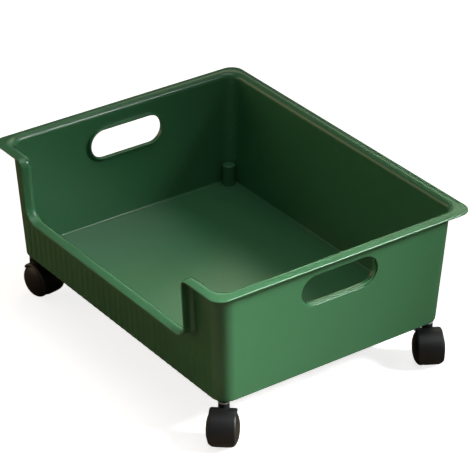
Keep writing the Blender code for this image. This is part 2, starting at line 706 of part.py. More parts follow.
def build_casters(nylon, black_steel, zinc, spring, sleeve_black):
    meshes = {
        "housing": (housing_mesh(), nylon),
        "stem": (stem_mesh(), black_steel),
        "collar_ring": (collar_ring_mesh(), zinc),
        "grip_ring": (grip_ring_mesh(), spring),
        "axle": (axle_mesh(), zinc),
        "wheel": (wheel_mesh(), nylon),
        "socket_sleeve": (sleeve_mesh(), sleeve_black),
    }
    for mesh, material in meshes.values():
        mesh.materials.clear()
        mesh.materials.append(material)
        smooth(mesh)
    for name, (x, y) in corner_places().items():
        for piece in ("socket_sleeve", "grip_ring"):
            new_object(piece + "_" + name, meshes[piece][0]).location = (x, y, CASTER_HEIGHT)
        swivel = bpy.data.objects.new("swivel_" + name, None)
        bpy.context.scene.collection.objects.link(swivel)
        swivel.location = (x, y, 0)
        swivel.rotation_euler = (0, 0, CASTER_HEADINGS[name])
        for piece in ("housing", "stem", "collar_ring"):
            new_object("caster_" + piece + "_" + name, meshes[piece][0], parent=swivel)
        axle = new_object("caster_axle_" + name, meshes["axle"][0], parent=swivel)
        axle.location = (CASTER_TRAIL, 0, WHEEL_RADIUS)
        axle.rotation_euler = (math.pi / 2, 0, 0)
        for tag, turn in (("a", math.pi / 2), ("b", -math.pi / 2)):
            wheel = new_object("caster_wheel_" + tag + "_" + name, meshes["wheel"][0], parent=swivel)
            wheel.location = (CASTER_TRAIL, 0, WHEEL_RADIUS)
            wheel.rotation_euler = (turn, 0, 0)


def build():
    clear_scene()
    green = make_material("green_plastic", (0.035, 0.16, 0.07), 0.32)
    nylon = make_material("black_nylon", (0.012, 0.012, 0.013), 0.38)
    sleeve_black = make_material("black_sleeve", (0.02, 0.02, 0.02), 0.5)
    black_steel = make_material("black_steel", (0.05, 0.05, 0.055), 0.4, 1.0)
    zinc = make_material("zinc_steel", (0.72, 0.73, 0.72), 0.3, 1.0)
    spring = make_material("spring_steel", (0.45, 0.45, 0.46), 0.35, 1.0)
    build_bin(green)
    build_casters(nylon, black_steel, zinc, spring, sleeve_black)


build()
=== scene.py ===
import math

import bmesh
import bpy
from mathutils import Matrix, Vector


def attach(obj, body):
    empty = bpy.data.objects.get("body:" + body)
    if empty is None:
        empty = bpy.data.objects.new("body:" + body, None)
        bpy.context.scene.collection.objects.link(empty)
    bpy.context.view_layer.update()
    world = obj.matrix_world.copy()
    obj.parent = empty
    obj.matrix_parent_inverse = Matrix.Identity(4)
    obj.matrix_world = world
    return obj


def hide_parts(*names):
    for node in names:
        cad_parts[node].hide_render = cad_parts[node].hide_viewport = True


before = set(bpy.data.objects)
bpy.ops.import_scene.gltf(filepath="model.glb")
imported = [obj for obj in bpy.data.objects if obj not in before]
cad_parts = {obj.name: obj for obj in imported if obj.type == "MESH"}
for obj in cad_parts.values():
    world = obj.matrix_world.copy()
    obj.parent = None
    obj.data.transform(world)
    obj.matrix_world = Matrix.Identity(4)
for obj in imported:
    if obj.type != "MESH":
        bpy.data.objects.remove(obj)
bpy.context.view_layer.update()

# Lengths are in metres and angles in radians
MM = 0.001

# Bin, outside sizes
RIM_LENGTH = 400 * MM
RIM_WIDTH = 307 * MM
BODY_HEIGHT = 129 * MM
WALL_DRAFT = math.radians(3.1)
WALL_CORNER_RADIUS = 17 * MM
RIM_CORNER_RADIUS = 14 * MM
BOTTOM_FILLET = 3 * MM
INNER_FILLET = 2.2 * MM
WALL_THICKNESS = 2.4 * MM
FLOOR_THICKNESS = 2.8 * MM

# Flared lip and front cut-out
LIP_WIDTH = 11.6 * MM
LIP_RADIUS = 6.5 * MM
LIP_SLOPE = math.radians(12)
LIP_ROOT_RUN = 1.5 * MM
CUTOUT_LENGTH = 279.5 * MM
SILL_HEIGHT = 61.2 * MM
CUTOUT_TOP_RADIUS = 10 * MM
CUTOUT_BOTTOM_RADIUS = 13 * MM
LEAST_EDGE_RADIUS = 1.2 * MM

# Raised middle of the floor
PANEL_INSET = 32 * MM
PANEL_RISE = 2.5 * MM
PANEL_CORNER_RADIUS = 18 * MM

# Ribs
RIB_PITCH = 10 * MM
RIB_WIDTH = 7.4 * MM
RIB_HEIGHT = 0.6 * MM
RIB_HEAD_GAP = 2.5 * MM
RIB_RUN_OUT = 12 * MM
RIB_FIELD_LENGTH = 320 * MM

# Hand holes
HOLE_LENGTH = 89 * MM
HOLE_HEIGHT = 31.6 * MM
HOLE_BELOW_RIM = 35.4 * MM
HOLE_LEDGE = 1.3 * MM
HOLE_LEDGE_DEPTH = 1.4 * MM
HOLE_EDGE_ROUND = 0.4 * MM
COLLAR_DEPTH = 6.5 * MM
COLLAR_THICKNESS = 2.2 * MM

# Casters
STEM_X = 171.1 * MM
STEM_Y = 124.7 * MM
CASTER_HEADINGS = {
    "front_left": math.radians(8),
    "front_right": math.radians(-40),
    "rear_left": math.radians(-110),
    "rear_right": math.radians(-30),
}
CASTER_HEIGHT = 44 * MM
CASTER_TRAIL = 12 * MM
WHEEL_RADIUS = 18 * MM
WHEEL_SPAN = 33 * MM
BODY_GAP_WIDTH = 13.4 * MM
TREAD_WIDTH = 1.6 * MM
WHEEL_SKIN = 2.2 * MM
WHEEL_FULLNESS = 2.1
WHEEL_EDGE_ROUND = 0.3 * MM
WHEEL_INSIDE_SHARES = (0.95, 0.85, 0.7, 0.5, 0.38)  # radii of its hollow inside, as shares
AXLE_DIAMETER = 3 * MM
AXLE_HUB_RADIUS = 4.4 * MM
HOOD_CLEARANCE = 0.7 * MM
HOOD_THICKNESS = 1.2 * MM
HOOD_WIDTH = 27 * MM
HOOD_SKIRT = 2.1 * MM
HOOD_REAR_ANGLE = math.radians(-32)
HOOD_FRONT_ANGLE = math.radians(150)
HOOD_CORNER = 7 * MM
WEB_THICKNESS = 5 * MM
WEB_END_INSET = math.radians(4)
NECK_DIAMETER = 11.2 * MM
NECK_ROUND = 0.7 * MM
STEM_DIAMETER = 7.8 * MM
STEM_IN_NECK = 17 * MM
COLLAR_RING_DIAMETER = 11 * MM
COLLAR_RING_HEIGHT = 2 * MM
COLLAR_RING_ROUND = 0.3 * MM
SLEEVE_WALL = 0.9 * MM
SLEEVE_FLANGE_THICKNESS = 1 * MM
STEM_IN_SOCKET = 24 * MM
POST_WALL = 1.6 * MM
POST_ROOF = 2.4 * MM
POST_ROUND = 1.2 * MM
GUSSET_THICKNESS = 2.2 * MM

# Play between pieces, reach of a cutter past a face, and how near two points count as one
FIT = 0.3 * MM
OVERLAP = 0.6 * MM
WELD_DISTANCE = 0.01 * MM
SLICE_DISTANCE = 1e-7

# Facets, and the angle from which an edge is shaded sharp
RIB_COLUMN = 1 * MM
RIB_ROWS = 10
CORNER_STEPS = 16
CUTOUT_TOP_STEPS = 12
CUTOUT_BOTTOM_STEPS = 14
LIP_OUTER_STEPS = 8
LIP_INNER_STEPS = 10
TIP_STEPS = 8
FILLET_STEPS = 6
HOLE_STEPS = 24
HOLE_EDGE_STEPS = 4
ROUND_SIDES = 64
ROUND_STEPS = 4
WHEEL_SIDES = 128
DOME_STEPS = 14
HOOD_STEPS = 48
HOOD_BEND_STEPS = 6
HOOD_CORNER_STEPS = 8
BIN_SHARP_ANGLE = math.radians(40)
CASTER_SHARP_ANGLE = math.radians(35)

# Values that follow from the sizes above
SLOPE = math.tan(WALL_DRAFT)
LIP_CENTRE_OUT = LIP_RADIUS - WALL_THICKNESS
LIP_UNDER_RADIUS = LIP_RADIUS - WALL_THICKNESS
TIP_RADIUS = WALL_THICKNESS / 2
LIP_MID_RADIUS = LIP_RADIUS - TIP_RADIUS
LIP_MID_OUT = LIP_CENTRE_OUT + LIP_MID_RADIUS * math.sin(LIP_SLOPE)
LIP_MID_DOWN = LIP_RADIUS - LIP_MID_RADIUS * math.cos(LIP_SLOPE)
TIP_OUT = LIP_WIDTH - TIP_RADIUS
TIP_DOWN = LIP_MID_DOWN + (TIP_OUT - LIP_MID_OUT) * math.tan(LIP_SLOPE)
ROOT_DOWN = LIP_RADIUS + LIP_ROOT_RUN
RIB_HEAD = SILL_HEIGHT - ROOT_DOWN - RIB_HEAD_GAP
TOP_HALF_X = RIM_LENGTH / 2 - LIP_WIDTH + TIP_DOWN * SLOPE
TOP_HALF_Y = RIM_WIDTH / 2 - LIP_WIDTH + TIP_DOWN * SLOPE
BOTTOM_HALF_X = TOP_HALF_X - BODY_HEIGHT * SLOPE
BOTTOM_HALF_Y = TOP_HALF_Y - BODY_HEIGHT * SLOPE
STEM_BORE_RADIUS = STEM_DIAMETER / 2 + FIT
SOCKET_RADIUS = STEM_BORE_RADIUS + SLEEVE_WALL + FIT
SOCKET_DEPTH = STEM_IN_SOCKET + FIT
POST_RADIUS = SOCKET_RADIUS + POST_WALL
POST_TOP = SOCKET_DEPTH + POST_ROOF
HOOD_INNER_RADIUS = WHEEL_RADIUS + HOOD_CLEARANCE
HOOD_OUTER_RADIUS = HOOD_INNER_RADIUS + HOOD_THICKNESS
NECK_TOP = CASTER_HEIGHT - SLEEVE_FLANGE_THICKNESS - COLLAR_RING_HEIGHT - 3 * FIT
STEM_BOTTOM = NECK_TOP - STEM_IN_NECK
WHEEL_INNER_FACE = BODY_GAP_WIDTH / 2 + FIT
AXLE_BORE_RADIUS = AXLE_DIAMETER / 2 + FIT
AXLE_HALF_LENGTH = WHEEL_SPAN / 2 - WHEEL_SKIN - FIT


# Mesh helpers
def new_object(name, data):
    item = bpy.data.objects.new(name, data)
    bpy.context.scene.collection.objects.link(item)
    return item


def dress(mesh, material):
    mesh.materials.clear()
    mesh.materials.append(material)


def finish_mesh(bm, name):
    bmesh.ops.recalc_face_normals(bm, faces=bm.faces)
    mesh = bpy.data.meshes.new(name)
    bm.to_mesh(mesh)
    bm.free()
    return mesh


def smooth(mesh, sharp_angle):
    mesh.shade_smooth()
    mesh.set_sharp_from_angle(angle=sharp_angle)


def weld(mesh):
    """Joins points that lie on each other, and drops faces without area or back to back."""
    bm = bmesh.new()
    bm.from_mesh(mesh)
    bmesh.ops.remove_doubles(bm, verts=bm.verts, dist=WELD_DISTANCE)
    bmesh.ops.dissolve_degenerate(bm, edges=bm.edges, dist=WELD_DISTANCE)
    bmesh.ops.triangulate(bm, faces=bm.faces)
    single = {}
    twins = []
    for face in bm.faces:
        corners = frozenset(face.verts)
        if corners in single:
            twins += [single.pop(corners), face]
        else:
            single[corners] = face
    bmesh.ops.delete(bm, geom=twins, context="FACES")
    bm.to_mesh(mesh)
    bm.free()


def boolean(item, tools, operation):
    """Joins the tools to the item, or cuts them out of it, and keeps the result as its mesh."""
    group = bpy.data.collections.new(item.name + "_tools")
    for tool in tools:
        group.objects.link(tool)
    step = item.modifiers.new("step", "BOOLEAN")
    step.operation = operation
    step.solver = "EXACT"
    step.operand_type = "COLLECTION"
    step.collection = group
    bpy.context.view_layer.update()
    graph = bpy.context.evaluated_depsgraph_get()
    mesh = bpy.data.meshes.new_from_object(item.evaluated_get(graph), depsgraph=graph)
    item.modifiers.clear()
    weld(mesh)
    item.data = mesh
    for tool in tools:
        bpy.data.objects.remove(tool, do_unlink=True)
    bpy.data.collections.remove(group)


def arc(centre, radius, start, end, steps):
    """Points on an arc from one angle to another, both ends included."""
    points = []
    for step in range(steps + 1):
        angle = start + (end - start) * step / steps
        points.append((centre[0] + radius * math.cos(angle), centre[1] + radius * math.sin(angle)))
    return points


def rounded_rectangle(half_x, half_y, radius):
    """Plan outline, counter-clockwise, from the front right corner to the front left one."""
    points = []
    for sign_x, sign_y, start in ((1, -1, -90), (1, 1, 0), (-1, 1, 90), (-1, -1, 180)):
        centre = (sign_x * (half_x - radius), sign_y * (half_y - radius))
        angle = math.radians(start)
        points += arc(centre, radius, angle, angle + math.pi / 2, CORNER_STEPS)
    return points


def stadium(length, height):
    """Oval outline with straight top and bottom, centred on the origin."""
    radius = height / 2
    middle = length / 2 - radius
    right = arc((middle, 0), radius, -math.pi / 2, math.pi / 2, HOLE_STEPS)
    left = arc((-middle, 0), radius, math.pi / 2, 3 * math.pi / 2, HOLE_STEPS)
    return right + left


def join_rings(bm, lower, upper):
    """Makes the faces between two rings of vertices. Returns the last, which closes the ring."""
    count = len(lower)
    for index in range(count):
        following = (index + 1) % count
        face = bm.faces.new((lower[index], lower[following], upper[following], upper[index]))
    return face


def loft(name, rings):
    """Closed solid through rings that have the same number of points."""
    bm = bmesh.new()
    rows = [[bm.verts.new(point) for point in ring] for ring in rings]
    for lower, upper in zip(rows, rows[1:]):
        join_rings(bm, lower, upper)
    bm.faces.new(list(reversed(rows[0])))
    bm.faces.new(rows[-1])
    return finish_mesh(bm, name)


def turned(name, profile, sides=ROUND_SIDES):
    """Solid of revolution about Z from a closed list of (radius, height)."""
    bm = bmesh.new()
    columns = []
    for radius, height in profile:
        if radius == 0:
            columns.append([bm.verts.new((0, 0, height))])
            continue
        ring = []
        for side in range(sides):
            angle = 2 * math.pi * (side + 0.5) / sides
            ring.append(bm.verts.new((radius * math.cos(angle), radius * math.sin(angle), height)))
        columns.append(ring)
    for index, ring in enumerate(columns):
        following = columns[(index + 1) % len(columns)]
        if len(ring) == 1 and len(following) == 1:
            continue
        for side in range(sides):
            after = (side + 1) % sides
            corners = [ring[side % len(ring)], ring[after % len(ring)],
                       following[after % len(following)], following[side % len(following)]]
            bm.faces.new(list(dict.fromkeys(corners)))
    return finish_mesh(bm, name)


def round_corners(profile, radii):
    """The profile with an arc in place of each corner that has a radius in radii."""
    points = []
    for index, corner in enumerate(profile):
        radius = radii.get(index, 0)
        if not radius:
            points.append(corner)
            continue
        here = Vector(corner)
        before = (Vector(profile[index - 1]) - here).normalized()
        after = (Vector(profile[(index + 1) % len(profile)]) - here).normalized()
        half = before.angle(after) / 2
        reach = radius / math.tan(half)
        centre = here + (before + after).normalized() * radius / math.sin(half)
        first = here + before * reach - centre
        last = here + after * reach - centre
        turn = first.angle_signed(last)
        for step in range(ROUND_STEPS + 1):
            spoke = Matrix.Rotation(-turn * step / ROUND_STEPS, 2) @ first
            points.append(tuple(centre + spoke))
    return points


def cylinder(name, radius, bottom, top, top_round=0):
    profile = [(0, bottom), (radius, bottom), (radius, top), (0, top)]
    return turned(name, round_corners(profile, {2: top_round}))


# Bin, with its underside at height 0 until build_bin lifts it onto the casters
def wall_half_sizes(height):
    """Half length and half width over the outside of the walls, at a height."""
    below_rim = BODY_HEIGHT - height
    return TOP_HALF_X - below_rim * SLOPE, TOP_HALF_Y - below_rim * SLOPE


def corner_radius(out):
    """Plan corner radius at a distance out from the wall: the lip's corner is squarer."""
    if out <= 0:
        return WALL_CORNER_RADIUS + out
    return WALL_CORNER_RADIUS + (RIM_CORNER_RADIUS - WALL_CORNER_RADIUS) * out / LIP_WIDTH


def lip_section():
    """Section of the lip as (out from the wall, down from the crest), wall outside to inside."""
    quarter_end = math.pi / 2 - LIP_SLOPE
    centre = (LIP_CENTRE_OUT, -LIP_RADIUS)
    under = arc(centre, LIP_UNDER_RADIUS, math.pi, quarter_end, LIP_OUTER_STEPS)
    tip = arc((TIP_OUT, -TIP_DOWN), TIP_RADIUS, quarter_end - math.pi, quarter_end, TIP_STEPS)
    crest = arc(centre, LIP_RADIUS, quarter_end, math.pi, LIP_INNER_STEPS)
    points = [(0, -ROOT_DOWN)] + under + tip + crest + [(-WALL_THICKNESS, -ROOT_DOWN)]
    return [(out, -height) for out, height in points]


def cutout_path(down):
    """Front edge line in (x, height), a distance down from the edge into the wall."""
    half = CUTOUT_LENGTH / 2
    top = BODY_HEIGHT - down
    tight = max(CUTOUT_TOP_RADIUS - down, LEAST_EDGE_RADIUS)
    wide = CUTOUT_BOTTOM_RADIUS + down
    low_centre = (half - CUTOUT_BOTTOM_RADIUS, SILL_HEIGHT + CUTOUT_BOTTOM_RADIUS)
    high_centre = (half + down + tight, top - tight)
    top_left = arc((-high_centre[0], high_centre[1]), tight, math.pi / 2, 0, CUTOUT_TOP_STEPS)
    low_left = arc((-low_centre[0], low_centre[1]), wide, math.pi, 1.5 * math.pi,
                   CUTOUT_BOTTOM_STEPS)
    low_right = arc(low_centre, wide, 1.5 * math.pi, 2 * math.pi, CUTOUT_BOTTOM_STEPS)
    top_right = arc(high_centre, tight, math.pi, math.pi / 2, CUTOUT_TOP_STEPS)
    return top_left + low_left + low_right + top_right


def lip_ring(out, down):
    """Closed line round the bin at one place of the lip section: front edge, then the rim."""
    points = []
    for x, height in cutout_path(down):
        points.append((x, -(wall_half_sizes(height)[1] + out), height))
    height = BODY_HEIGHT - down
    half_x, half_y = wall_half_sizes(height)
    plan = rounded_rectangle(half_x + out, half_y + out, corner_radius(out))
    return points + [(x, y, height) for x, y in plan]


def base_rings(floor, inset, fillet):
    """Plan rings from the wall's foot to the raised panel, for one face of the floor."""
    foot = floor + fillet
    half_x, half_y = wall_half_sizes(foot)
    centre_in = inset + fillet / math.cos(WALL_DRAFT)
    rings = []
    for across, height in arc((0, foot), fillet, -WALL_DRAFT, -math.pi / 2, FILLET_STEPS):
        shift = centre_in - across
        plan = rounded_rectangle(half_x - shift, half_y - shift, WALL_CORNER_RADIUS - shift)
        rings.append([(x, y, height) for x, y in plan])
    for extra, height in ((0, floor), (PANEL_RISE, floor + PANEL_RISE)):
        shift = PANEL_INSET + extra
        panel = rounded_rectangle(BOTTOM_HALF_X - shift, BOTTOM_HALF_Y - shift, PANEL_CORNER_RADIUS)
        rings.append([(x, y, height) for x, y in panel])
    return rings


def slice_faces(bm, faces, points, normal):
    """Cuts the faces by a plane through each point and returns all the faces they become."""
    for point in points:
        edges = {edge for face in faces for edge in face.edges}
        verts = {vert for face in faces for vert in face.verts}
        cut = bmesh.ops.bisect_plane(bm, geom=list(faces) + list(edges) + list(verts),
                                     dist=SLICE_DISTANCE, plane_co=point, plane_no=normal)
        faces = [part for part in cut["geom"] if isinstance(part, bmesh.types.BMFace)]
    return faces


def rib_rise(x, height):
    """How far the ribbed front stands out at a place on it."""
    if abs(x) > RIB_FIELD_LENGTH / 2 + RIB_PITCH / 2:
        return 0
    across = (x / RIB_PITCH + 0.5) % 1 - 0.5
    across *= 2 * RIB_PITCH / RIB_WIDTH
    if abs(across) >= 1:
        return 0
    fade = min(max((RIB_HEAD - height) / RIB_RUN_OUT, 0), 1)
    fade *= min(max(height / BOTTOM_FILLET, 0), 1)
    fade = fade * fade * (3 - 2 * fade)  # eases in and out
    return RIB_HEIGHT * fade * (1 - across ** 2) ** 2


def add_ribs(bm, faces):
    """Slices the front's outside faces into columns and rows, and lifts the ribs out of them."""
    reach = RIB_FIELD_LENGTH / 2 + RIB_WIDTH / 2
    count = round(2 * reach / RIB_COLUMN)
    columns = [Vector((-reach + 2 * reach * step / count, 0, 0)) for step in range(count + 1)]
    rows = [Vector((0, 0, RIB_HEAD - RIB_RUN_OUT * step / RIB_ROWS))
            for step in range(RIB_ROWS + 1)]
    faces = slice_faces(bm, faces, columns, Vector((1, 0, 0)))
    faces = slice_faces(bm, faces, rows, Vector((0, 0, 1)))
    out = Vector((0, -math.cos(WALL_DRAFT), -math.sin(WALL_DRAFT)))
    for vert in {vert for face in faces for vert in face.verts}:
        vert.co += out * rib_rise(vert.co.x, vert.co.z)


def tub_mesh():
    """Lip, drafted walls, floor and ribbed front, one closed skin."""
    bm = bmesh.new()

    def vertex_rings(rings):
        return [[bm.verts.new(point) for point in ring] for ring in rings]

    lip = vertex_rings(lip_ring(out, down) for out, down in lip_section())
    for lower, upper in zip(lip, lip[1:]):
        join_rings(bm, lower, upper)
    outside = vertex_rings(base_rings(0, 0, BOTTOM_FILLET))
    inside = vertex_rings(base_rings(FLOOR_THICKNESS, WALL_THICKNESS, INNER_FILLET))

    # A lip ring starts with the front edge's points. The front wall between that edge and the
    # foot is one face, and the face that closes each fillet ring lies under it.
    front = len(cutout_path(0))
    ribbed = []
    for root, rings in ((lip[0], outside), (lip[-1], inside)):
        foot = rings[0]
        for index in range(len(foot) - 1):
            bm.faces.new((root[front + index], root[front + index + 1],
                          foot[index + 1], foot[index]))
        wall = bm.faces.new([root[-1]] + root[:front + 1] + [foot[0], foot[-1]])
        for number, (lower, upper) in enumerate(zip(rings, rings[1:])):
            closing = join_rings(bm, lower, upper)
            if rings is outside and number < FILLET_STEPS:
                ribbed.append(closing)
        bm.faces.new(rings[-1])
        if rings is outside:
            ribbed.append(wall)
    bmesh.ops.recalc_face_normals(bm, faces=bm.faces)
    add_ribs(bm, ribbed)
    return finish_mesh(bm, "tub")


def hole_frame(side):
    """Frame on the outside of an end wall: local Z points out of the wall, local X along it."""
    height = BODY_HEIGHT - HOLE_BELOW_RIM
    place = Matrix.Translation((side * wall_half_sizes(height)[0], 0, height))
    out = Vector((side * math.cos(WALL_DRAFT), 0, -math.sin(WALL_DRAFT)))
    along = Vector((0, side, 0))
    turn = Matrix((along, out.cross(along), out)).transposed().to_4x4()
    return place @ turn


def hole_tools(side):
    """The collar round a hand hole, and the cutter that opens it to a ledge and then through."""
    place = hole_frame(side)

    def ring(depth, grow):
        outline = stadium(HOLE_LENGTH + 2 * grow, HOLE_HEIGHT + 2 * grow)
        return [place @ Vector((x, y, depth)) for x, y in outline]

    edge = COLLAR_THICKNESS / 3
    collar = [ring(-WALL_THICKNESS / 2, COLLAR_THICKNESS),
              ring(-COLLAR_DEPTH + edge, COLLAR_THICKNESS),
              ring(-COLLAR_DEPTH, COLLAR_THICKNESS - edge)]
    cutter = [ring(OVERLAP, HOLE_LEDGE + HOLE_EDGE_ROUND)]
    for top, grow in ((0, HOLE_LEDGE), (-HOLE_LEDGE_DEPTH, 0)):
        for step in range(HOLE_EDGE_STEPS + 1):
            angle = math.pi / 2 * step / HOLE_EDGE_STEPS
            cutter.append(ring(top - HOLE_EDGE_ROUND * (1 - math.cos(angle)),
                               grow + HOLE_EDGE_ROUND * (1 - math.sin(angle))))
        if top == 0:
            cutter.append(ring(-HOLE_LEDGE_DEPTH, HOLE_LEDGE))
    cutter += [ring(-COLLAR_DEPTH + edge, 0), ring(-COLLAR_DEPTH, edge / 2),
               ring(-COLLAR_DEPTH - OVERLAP, edge / 2)]
    return loft("collar", collar), loft("hole", cutter)


def corner_places():
    """Stem axis of each caster in plan."""
    places = {}
    for name in CASTER_HEADINGS:
        x = STEM_X if name.endswith("right") else -STEM_X
        y = STEM_Y if name.startswith("rear") else -STEM_Y
        places[name] = (x, y)
    return places


def post_meshes(x, y):
    """A caster post inside a corner, and the bore for its sleeve."""
    post = cylinder("post", POST_RADIUS, FLOOR_THICKNESS / 2, POST_TOP, POST_ROUND)
    bore = cylinder("bore", SOCKET_RADIUS, -OVERLAP, SOCKET_DEPTH)
    for mesh in (post, bore):
        mesh.transform(Matrix.Translation((x, y, 0)))
    return post, bore


def gusset_meshes(x, y):
    """Two upright plates that tie a post to the end wall and to the long wall beside it."""
    side_x = math.copysign(1, x)
    side_y = math.copysign(1, y)
    foot = FLOOR_THICKNESS / 2
    half_x, half_y = wall_half_sizes(foot)
    top = SOCKET_DEPTH - POST_ROOF
    half = GUSSET_THICKNESS / 2
    start = SOCKET_RADIUS + POST_WALL / 2

    # The plates end in the middle of the wall, which may already curve there
    centre_x = half_x - WALL_CORNER_RADIUS
    centre_y = half_y - WALL_CORNER_RADIUS
    out_x = math.sqrt(WALL_CORNER_RADIUS ** 2 - max(0, abs(y) + half - centre_y) ** 2)
    out_y = math.sqrt(WALL_CORNER_RADIUS ** 2 - max(0, abs(x) + half - centre_x) ** 2)
    wall_x = side_x * (centre_x + out_x - WALL_THICKNESS / 2)
    wall_y = side_y * (centre_y + out_y - WALL_THICKNESS / 2)

    along_x = []
    along_y = []
    for height, lean in ((foot, 0), (top, (top - foot) * SLOPE)):
        near = x + side_x * start
        far = wall_x + side_x * lean
        along_x.append([(near, y - half, height), (far, y - half, height),
                        (far, y + half, height), (near, y + half, height)])
        near = y + side_y * start
        far = wall_y + side_y * lean
        along_y.append([(x - half, near, height), (x + half, near, height),
                        (x + half, far, height), (x - half, far, height)])
    return loft("gusset_x", along_x), loft("gusset_y", along_y)


def build_bin(material):
    shell = new_object("bin_moulding", tub_mesh())
    added = []
    cut = []
    for side in (-1, 1):
        collar, hole = hole_tools(side)
        added.append(collar)
        cut.append(hole)
    for x, y in corner_places().values():
        post, bore = post_meshes(x, y)
        added += [post, *gusset_meshes(x, y)]
        cut.append(bore)
    boolean(shell, [new_object("add", mesh) for mesh in added], "UNION")
    boolean(shell, [new_object("cut", mesh) for mesh in cut], "DIFFERENCE")
    mesh = shell.data
    mesh.transform(Matrix.Translation((0, 0, CASTER_HEIGHT)))
    smooth(mesh, BIN_SHARP_ANGLE)
    dress(mesh, material)
    weighted = shell.modifiers.new("even_shading", "WEIGHTED_NORMAL")
    weighted.keep_sharp = True
    weighted.mode = "FACE_AREA"
    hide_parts("bin_shell")
    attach(shell, "bin")


# Casters, in the caster's own frame: X is the way it trails, the stem is on Z
def hood_section(half):
    """Hood section as (along the axle, radius from it): a shallow channel with rounded skirts."""
    centre = (half - HOOD_SKIRT, HOOD_OUTER_RADIUS - HOOD_SKIRT)
    outer_turn = arc(centre, HOOD_SKIRT, math.pi / 2, 0, HOOD_BEND_STEPS)
    inner_turn = arc(centre, HOOD_SKIRT - HOOD_THICKNESS, 0, math.pi / 2, HOOD_BEND_STEPS)
    right = outer_turn + inner_turn
    left = [(-across, radius) for across, radius in reversed(right)]
    return right + left


def around_axle(across, radius, angle):
    return (CASTER_TRAIL + radius * math.cos(angle), across,
            WHEEL_RADIUS + radius * math.sin(angle))


def hood_mesh():
    """Hood section carried round the wheels, narrowed at both ends to round its corners."""
    corner = HOOD_CORNER / HOOD_OUTER_RADIUS
    ends = []
    for step in range(HOOD_CORNER_STEPS):
        turn = math.pi / 2 * step / HOOD_CORNER_STEPS
        ends.append((corner * (1 - math.cos(turn)), HOOD_CORNER * (1 - math.sin(turn))))
    start = HOOD_REAR_ANGLE + corner
    end = HOOD_FRONT_ANGLE - corner
    stations = [(HOOD_REAR_ANGLE + inward, narrower) for inward, narrower in ends]
    for step in range(HOOD_STEPS + 1):
        stations.append((start + (end - start) * step / HOOD_STEPS, 0))
    stations += [(HOOD_FRONT_ANGLE - inward, narrower) for inward, narrower in reversed(ends)]
    rings = []
    for angle, narrower in stations:
        section = hood_section(HOOD_WIDTH / 2 - narrower)
        rings.append([around_axle(across, radius, angle) for across, radius in section])
    return loft("hood", rings)


def web_mesh():
    """Upright plate between the wheels, from the axle out into the hood."""
    centre = (CASTER_TRAIL, WHEEL_RADIUS)
    outline = [centre]
    outline += arc(centre, HOOD_INNER_RADIUS + HOOD_THICKNESS / 2,
                   HOOD_REAR_ANGLE + WEB_END_INSET, HOOD_FRONT_ANGLE - WEB_END_INSET, HOOD_STEPS)
    half = WEB_THICKNESS / 2
    return loft("web", [[(x, side, z) for x, z in outline] for side in (half, -half)])


def housing_mesh():
    """Hood over the wheels, web, axle hub and neck, in one moulding."""
    half = BODY_GAP_WIDTH / 2
    hub = cylinder("hub", AXLE_HUB_RADIUS, -half, half)
    axle_bore = cylinder("axle_bore", AXLE_BORE_RADIUS, -BODY_GAP_WIDTH, BODY_GAP_WIDTH)
    to_axle = Matrix.Translation((CASTER_TRAIL, 0, WHEEL_RADIUS))
    for mesh in (hub, axle_bore):
        mesh.transform(to_axle @ Matrix.Rotation(math.pi / 2, 4, "X"))
    stem_end = STEM_BOTTOM - FIT
    neck = cylinder("neck", NECK_DIAMETER / 2, stem_end - HOOD_THICKNESS, NECK_TOP, NECK_ROUND)
    stem_bore = cylinder("stem_bore", STEM_BORE_RADIUS, stem_end, NECK_TOP + OVERLAP)

    hood = new_object("hood", hood_mesh())
    added = (web_mesh(), hub, neck)
    boolean(hood, [new_object("add", mesh) for mesh in added], "UNION")
    boolean(hood, [new_object("cut", mesh) for mesh in (stem_bore, axle_bore)], "DIFFERENCE")
    mesh = hood.data
    bpy.data.objects.remove(hood, do_unlink=True)
    return mesh


def wheel_mesh():
    """One wheel, domed outside and hollow inside, turned about Z with +Z pointing outwards."""
    inner = WHEEL_INNER_FACE
    outer = WHEEL_SPAN / 2
    tread_end = inner + TREAD_WIDTH
    dome_height = outer - tread_end
    power = 2 / WHEEL_FULLNESS
    dome = []
    for step in range(1, DOME_STEPS):
        angle = math.pi / 2 * step / DOME_STEPS
        height = tread_end + dome_height * math.sin(angle) ** power
        dome.append((WHEEL_RADIUS * math.cos(angle) ** power, height))
    rim_inner = WHEEL_RADIUS - WHEEL_SKIN
    inside = []
    for share in WHEEL_INSIDE_SHARES:
        radius = rim_inner * share
        share_up = (1 - (radius / WHEEL_RADIUS) ** WHEEL_FULLNESS) ** (1 / WHEEL_FULLNESS)
        inside.append((radius, tread_end + dome_height * share_up - WHEEL_SKIN))
    hub_end = inside[-1][1]
    bore_end = AXLE_HALF_LENGTH + FIT
    profile = [(0, bore_end), (AXLE_BORE_RADIUS, bore_end), (AXLE_BORE_RADIUS, inner),
               (AXLE_HUB_RADIUS, inner), (AXLE_HUB_RADIUS, hub_end)]
    profile += list(reversed(inside))
    profile += [(rim_inner, inner), (WHEEL_RADIUS - WHEEL_EDGE_ROUND, inner),
                (WHEEL_RADIUS, inner + WHEEL_EDGE_ROUND), (WHEEL_RADIUS, tread_end)]
    profile += dome + [(0, outer)]
    return turned("caster_wheel", profile, WHEEL_SIDES)


def collar_ring_mesh():
    outer = COLLAR_RING_DIAMETER / 2
    bottom = NECK_TOP + FIT
    top = bottom + COLLAR_RING_HEIGHT
    profile = [(STEM_BORE_RADIUS, bottom), (outer, bottom), (outer, top), (STEM_BORE_RADIUS, top)]
    rounds = {1: COLLAR_RING_ROUND, 2: COLLAR_RING_ROUND}
    return turned("collar_ring", round_corners(profile, rounds))


